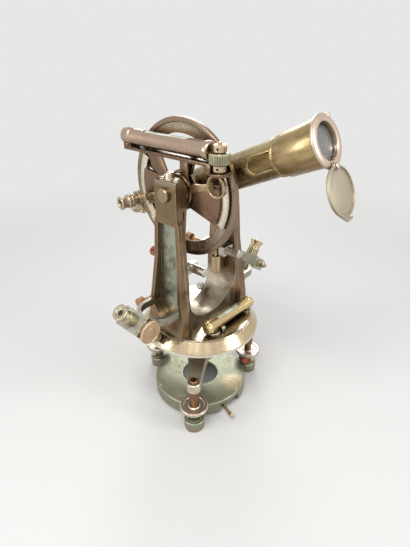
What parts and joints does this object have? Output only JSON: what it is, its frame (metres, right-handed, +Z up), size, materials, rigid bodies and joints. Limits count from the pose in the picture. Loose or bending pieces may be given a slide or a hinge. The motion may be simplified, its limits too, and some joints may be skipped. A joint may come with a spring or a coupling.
{
  "type": "theodolite",
  "caption": "Brass surveying theodolite with telescope, vertical circle, micrometer microscopes, levels and a footscrew levelling base.",
  "frame": {"origin": "on the ground at the vertical axis, at the mouth of the tripod thread", "axes": "+Z up along the vertical axis, +X along the trunnion axis towards the standard with the altitude level, +Y towards the side the objective looks to at rest"},
  "size_m": [0.2416, 0.3007, 0.3548],
  "materials": {
    "green_brass": "worn grey green lacquer",
    "base_brass": "aged",
    "copper_brass": "worn to a copper tone",
    "pink_brass": "aged",
    "aged_brass": "aged satin",
    "bright_brass": "bright",
    "dark_bronze": "dark bronze patina",
    "olive_brass": "golden olive lacquer",
    "red_copper": "red copper tone",
    "steel": "satin",
    "silvered": "silvered and graduated",
    "vial_glass": "clear",
    "lens_glass": "clear"
  },
  "bodies": {
    "levelling_base": {"foot_pads": "copper_brass", "base_plate": "green_brass", "base_cover": "green_brass", "base_screws": "aged_brass", "foot_keepers": "green_brass", "tribrach": "base_brass", "lower_clamp_collar": "aged_brass"},
    "lock_ring": {"lock_ring": "green_brass", "lock_lever": "bright_brass"},
    "foot_screw_a": {"foot_screw_a": "copper_brass", "foot_wheel_a": "pink_brass"},
    "foot_screw_b": {"foot_screw_b": "copper_brass", "foot_wheel_b": "pink_brass"},
    "foot_screw_c": {"foot_screw_c": "copper_brass", "foot_wheel_c": "pink_brass"},
    "base_lock_knob": {"base_lock_knob": "red_copper"},
    "lower_clamp_knob": {"lower_clamp_knob": "dark_bronze"},
    "lower_tangent_screw": {"lower_tangent_screw": "dark_bronze"},
    "limb": {"limb_spindle": "aged_brass", "horizontal_circle": "silvered"},
    "alidade": {"upper_plate": "bright_brass", "alidade_spindle": "steel", "standards": "base_brass", "trunnion_caps": "dark_bronze", "cap_screws": "copper_brass", "plate_level_tube": "bright_brass", "plate_level_vial": "vial_glass", "plate_level_mounts": "base_brass", "microscope_brackets": "dark_bronze", "microscope_tubes": "aged_brass", "micrometer_boxes": "green_brass", "spring_caps": "red_copper", "upper_tangent_bracket": "aged_brass", "clip_brackets": "aged_brass"},
    "micrometer_drum_a": {"micrometer_drum_a": "pink_brass"},
    "micrometer_drum_b": {"micrometer_drum_b": "pink_brass"},
    "microscope_eyepiece_a": {"microscope_eyepiece_a": "bright_brass"},
    "microscope_eyepiece_b": {"microscope_eyepiece_b": "bright_brass"},
    "upper_tangent_screw": {"upper_tangent_screw": "copper_brass"},
    "index_screw": {"index_screw": "red_copper"},
    "index_frame": {"index_frame": "aged_brass", "verniers": "silvered", "level_carrier": "dark_bronze", "level_tube": "pink_brass", "level_vial": "vial_glass", "level_nuts": "copper_brass"},
    "magnifier_front": {"magnifier_front": "aged_brass"},
    "magnifier_rear": {"magnifier_rear": "aged_brass"},
    "vertical_arm": {"vertical_arm": "aged_brass"},
    "vertical_clamp_knob": {"vertical_clamp_knob": "bright_brass"},
    "vertical_tangent_screw": {"vertical_tangent_screw": "copper_brass"},
    "telescope": {"trunnion_axis": "aged_brass", "telescope_tube": "olive_brass", "objective_cell": "pink_brass", "objective_lens": "lens_glass", "vertical_circle": "dark_bronze"},
    "objective_cap": {"objective_cap": "pink_brass"},
    "eye_draw_tube": {"eye_draw_tube": "aged_brass"},
    "eyepiece": {"eyepiece": "bright_brass"},
    "focus_knob": {"focus_knob": "copper_brass"}
  },
  "joints": [
    {"name": "lock_ring_turn", "type": "hinge", "parent": "levelling_base", "child": "lock_ring", "pos_m": [0, 0, 0.011], "axis": [0, 0, 1], "range_deg": [0, 22]},
    {"name": "foot_screw_a_turn", "type": "hinge", "parent": "levelling_base", "child": "foot_screw_a", "pos_m": [0.0575, 0.04333, 0.0325], "axis": [0, 0, 1], "continuous": true},
    {"name": "foot_screw_b_turn", "type": "hinge", "parent": "levelling_base", "child": "foot_screw_b", "pos_m": [-0.06628, 0.02813, 0.0325], "axis": [0, 0, 1], "continuous": true},
    {"name": "foot_screw_c_turn", "type": "hinge", "parent": "levelling_base", "child": "foot_screw_c", "pos_m": [0.00877, -0.07146, 0.0325], "axis": [0, 0, 1], "continuous": true},
    {"name": "base_lock_knob_turn", "type": "hinge", "parent": "levelling_base", "child": "base_lock_knob", "pos_m": [-0.05928, 0.02516, 0.022], "axis": [0.3907, 0.9205, 0], "range_deg": [-360, 0]},
    {"name": "lower_clamp_knob_turn", "type": "hinge", "parent": "levelling_base", "child": "lower_clamp_knob", "pos_m": [0.00157, 0.02996, 0.0864], "axis": [0.0523, 0.9986, 0], "range_deg": [-360, 0]},
    {"name": "lower_tangent_turn", "type": "hinge", "parent": "levelling_base", "child": "lower_tangent_screw", "pos_m": [-0.01671, -0.03764, 0.0864], "axis": [0.6018, -0.7986, 0], "range_deg": [-1080, 1080]},
    {"name": "lower_motion", "type": "hinge", "parent": "levelling_base", "child": "limb", "pos_m": [0, 0, 0.1], "axis": [0, 0, 1], "continuous": true},
    {"name": "upper_motion", "type": "hinge", "parent": "limb", "child": "alidade", "pos_m": [0, 0, 0.11], "axis": [0, 0, 1], "continuous": true},
    {"name": "micrometer_drum_a_turn", "type": "hinge", "parent": "alidade", "child": "micrometer_drum_a", "pos_m": [0.09676, 0, 0.15094], "axis": [0, 1, 0], "continuous": true},
    {"name": "microscope_eyepiece_a_slide", "type": "slide", "parent": "alidade", "child": "microscope_eyepiece_a", "axis": [0.6157, 0, 0.788], "range_m": [0, 0.004]},
    {"name": "micrometer_drum_b_turn", "type": "hinge", "parent": "alidade", "child": "micrometer_drum_b", "pos_m": [-0.09676, 0, 0.15094], "axis": [0, -1, 0], "continuous": true},
    {"name": "microscope_eyepiece_b_slide", "type": "slide", "parent": "alidade", "child": "microscope_eyepiece_b", "axis": [-0.6157, 0, 0.788], "range_m": [0, 0.004]},
    {"name": "upper_tangent_turn", "type": "hinge", "parent": "alidade", "child": "upper_tangent_screw", "pos_m": [0.02, -0.055, 0.128], "axis": [1, 0, 0], "range_deg": [-1080, 1080]},
    {"name": "index_adjust", "type": "hinge", "parent": "alidade", "child": "index_frame", "pos_m": [0.0284, 0, 0.2742], "axis": [1, 0, 0], "range_deg": [-0.4, 0.4]},
    {"name": "index_screw_turn", "type": "hinge", "parent": "alidade", "child": "index_screw", "pos_m": [0.02835, -0.02, 0.1942], "axis": [0, -1, 0], "range_deg": [-1080, 1080]},
    {"name": "magnifier_front_swing", "type": "hinge", "parent": "index_frame", "child": "magnifier_front", "pos_m": [0.0308, 0, 0.2742], "axis": [1, 0, 0], "range_deg": [-14, 0]},
    {"name": "magnifier_rear_swing", "type": "hinge", "parent": "index_frame", "child": "magnifier_rear", "pos_m": [0.0322, 0, 0.2742], "axis": [1, 0, 0], "range_deg": [0, 14]},
    {"name": "vertical_arm_fine", "type": "hinge", "parent": "alidade", "child": "vertical_arm", "pos_m": [-0.02835, 0, 0.2742], "axis": [1, 0, 0], "range_deg": [-0.4, 0.4]},
    {"name": "vertical_clamp_knob_turn", "type": "hinge", "parent": "vertical_arm", "child": "vertical_clamp_knob", "pos_m": [-0.02835, 0, 0.19], "axis": [0, 0, -1], "range_deg": [-360, 0]},
    {"name": "vertical_tangent_turn", "type": "hinge", "parent": "alidade", "child": "vertical_tangent_screw", "pos_m": [-0.02835, -0.02, 0.1942], "axis": [0, -1, 0], "range_deg": [-1080, 1080]},
    {"name": "telescope_tilt", "type": "hinge", "parent": "alidade", "child": "telescope", "pos_m": [0, 0, 0.2742], "axis": [1, 0, 0], "range_deg": [-62, 226]},
    {"name": "cap_swing", "type": "hinge", "parent": "telescope", "child": "objective_cap", "pos_m": [0.00173, 0.14446, 0.31693], "axis": [0, 0.9135, 0.4067], "range_deg": [-120, 175]},
    {"name": "focus_slide", "type": "slide", "parent": "telescope", "child": "eye_draw_tube", "axis": [0, 0.9135, 0.4067], "range_m": [0, 0.02]},
    {"name": "eyepiece_slide", "type": "slide", "parent": "eye_draw_tube", "child": "eyepiece", "axis": [0, 0.9135, 0.4067], "range_m": [0, 0.004]},
    {"name": "focus_knob_turn", "type": "hinge", "parent": "telescope", "child": "focus_knob", "pos_m": [-0.02, -0.03688, 0.2464], "axis": [-1, 0, 0], "range_deg": [0, 337.53]}
  ],
  "couplings": [
    {"joint": "focus_knob_turn", "follows": "focus_slide", "rad_per_m": 294.12}
  ]
}
